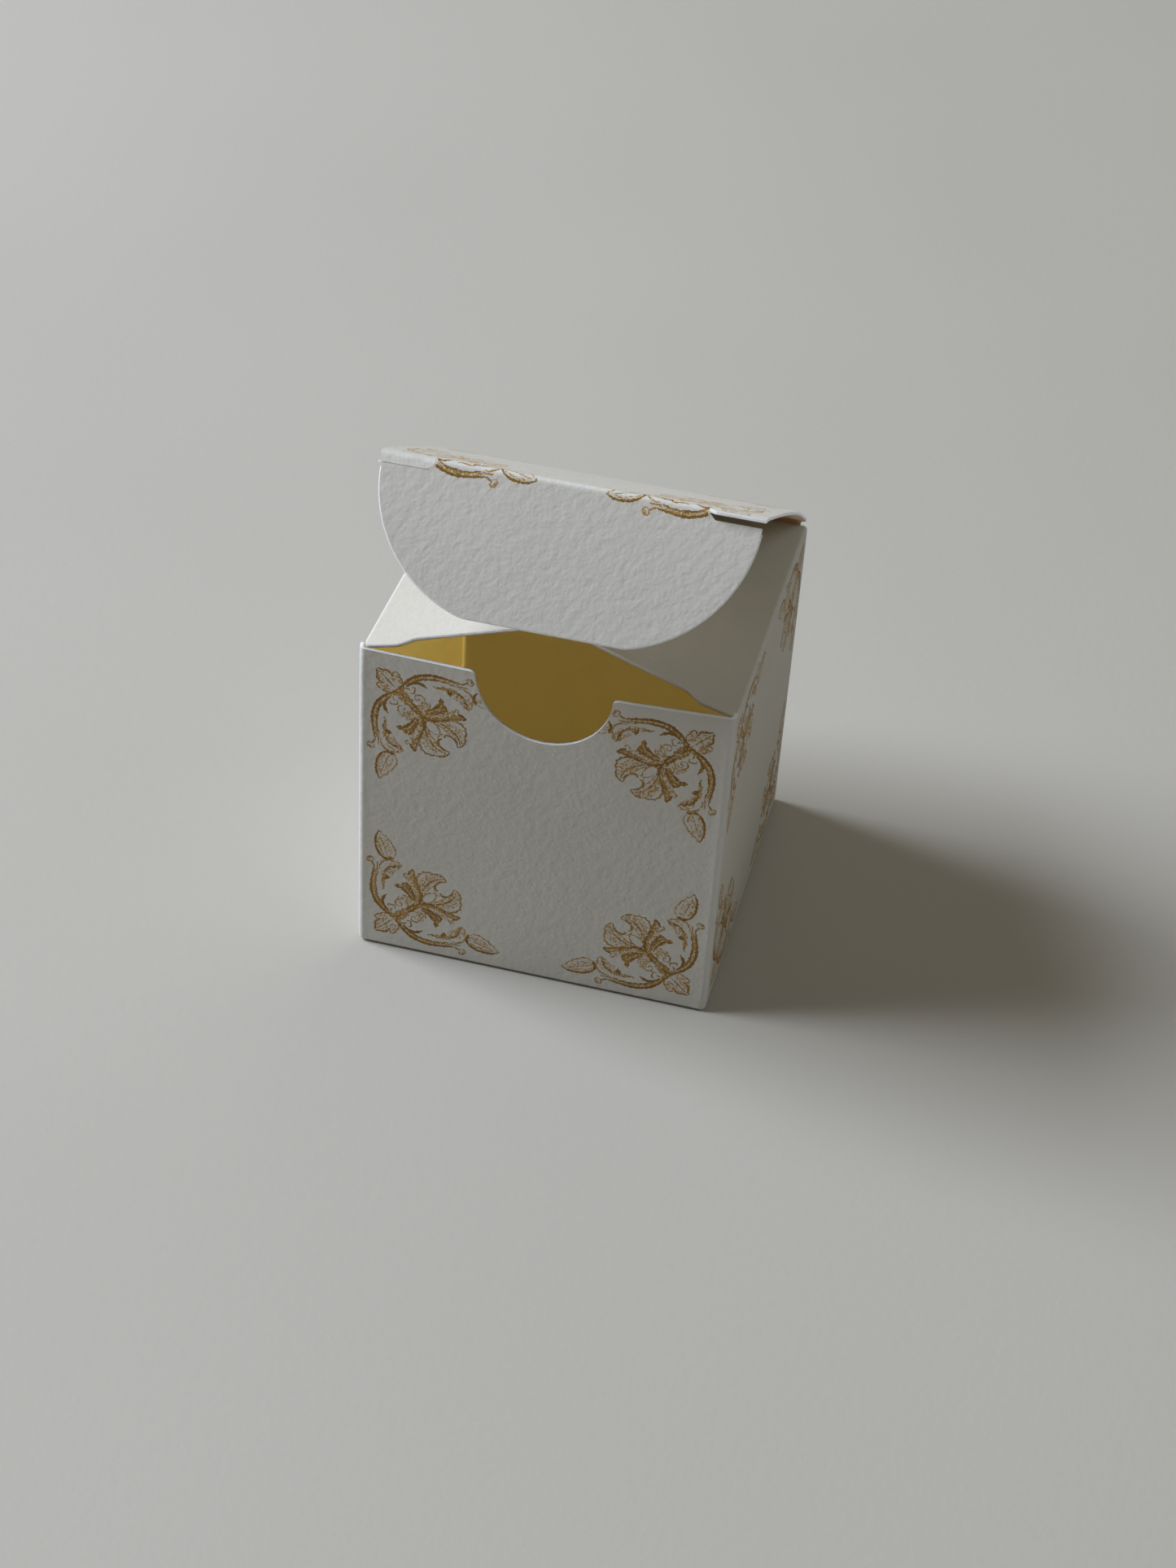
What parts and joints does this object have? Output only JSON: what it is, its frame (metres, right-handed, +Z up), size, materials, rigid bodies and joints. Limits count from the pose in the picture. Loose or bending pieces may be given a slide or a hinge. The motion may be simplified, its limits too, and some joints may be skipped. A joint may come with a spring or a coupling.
{
  "type": "favor box",
  "caption": "Small cube-shaped favor box folded from printed card, with a hinged lid, a slit-lock tuck flap, dust flaps and a thumb notch in the front wall.",
  "frame": {"origin": "middle of the base, on the surface that the box stands on", "axes": "+Z up, -Y towards the front wall with the thumb notch, +X to the right seen from the front"},
  "size_m": [0.05, 0.0549, 0.0764],
  "materials": {
    "printed_card": "matte felt-textured white card with ochre corner ornaments",
    "plain_card": "matte felt-textured white card, unprinted"
  },
  "bodies": {
    "box": {"box_body": "printed_card"},
    "lid": {"lid_panel": "printed_card"},
    "tuck": {"tuck_flap": "plain_card"},
    "left_flap": {"left_dust_flap": "plain_card"},
    "right_flap": {"right_dust_flap": "plain_card"}
  },
  "joints": [
    {"name": "lid_hinge", "type": "hinge", "parent": "box", "child": "lid", "pos_m": [0, 0.02475, 0.04975], "axis": [-1, 0, 0], "range_deg": [-27.4, 148.6]},
    {"name": "tuck_fold", "type": "hinge", "parent": "lid", "child": "tuck", "pos_m": [0, -0.01767, 0.07564], "axis": [-1, 0, 0], "range_deg": [-25, 82]},
    {"name": "left_flap_fold", "type": "hinge", "parent": "box", "child": "left_flap", "pos_m": [-0.02475, 0, 0.04915], "axis": [0, -1, 0], "range_deg": [-15.01, 81.4]},
    {"name": "right_flap_fold", "type": "hinge", "parent": "box", "child": "right_flap", "pos_m": [0.02475, 0, 0.04915], "axis": [0, 1, 0], "range_deg": [-15.01, 81.4]}
  ],
  "couplings": [
    {"joint": "left_flap_fold", "follows": "lid_hinge", "ratio": 0.5474},
    {"joint": "right_flap_fold", "follows": "lid_hinge", "ratio": 0.5474}
  ]
}
